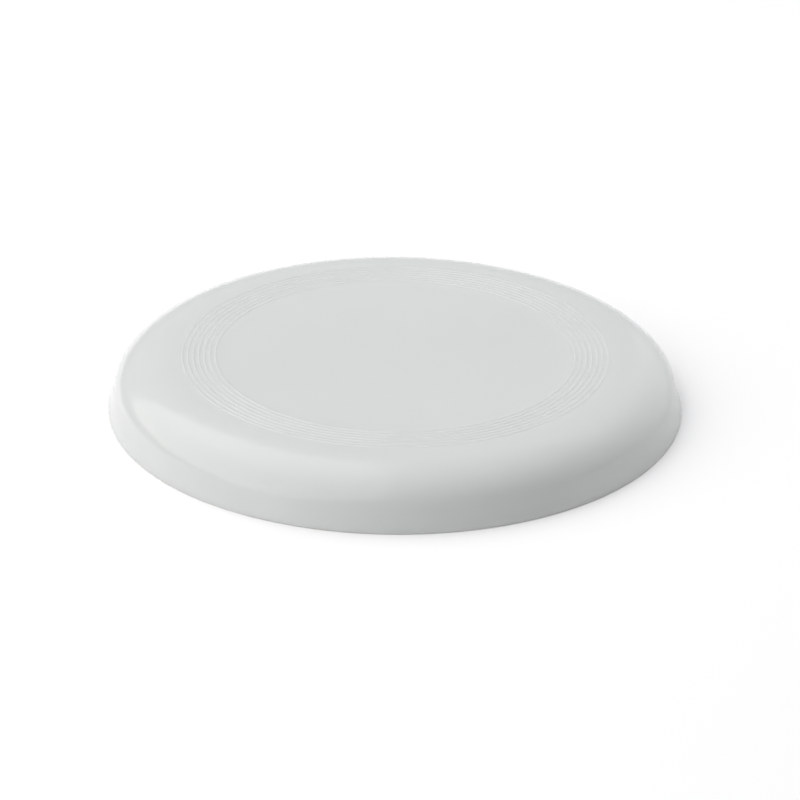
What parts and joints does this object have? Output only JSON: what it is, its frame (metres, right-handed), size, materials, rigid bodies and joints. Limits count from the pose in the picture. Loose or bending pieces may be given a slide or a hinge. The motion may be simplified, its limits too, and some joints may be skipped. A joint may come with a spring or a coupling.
{
  "type": "flying disc",
  "caption": "Round moulded plastic disc with a hollow underside, a flared rim and fine raised grip rings, thrown by hand to glide in lawn games.",
  "frame": {"origin": "centre of the base circle, on the plane of the rim's foot", "axes": "+Z is the disc's axis of revolution and points up, out of the top plate; X and Y are any two directions across the disc, which is the same all round"},
  "size_m": [0.23, 0.23, 0.0222],
  "materials": {
    "shell": "smooth satin-gloss moulded plastic, plain off-white"
  },
  "bodies": {
    "root": {"disc": "shell"}
  },
  "joints": []
}
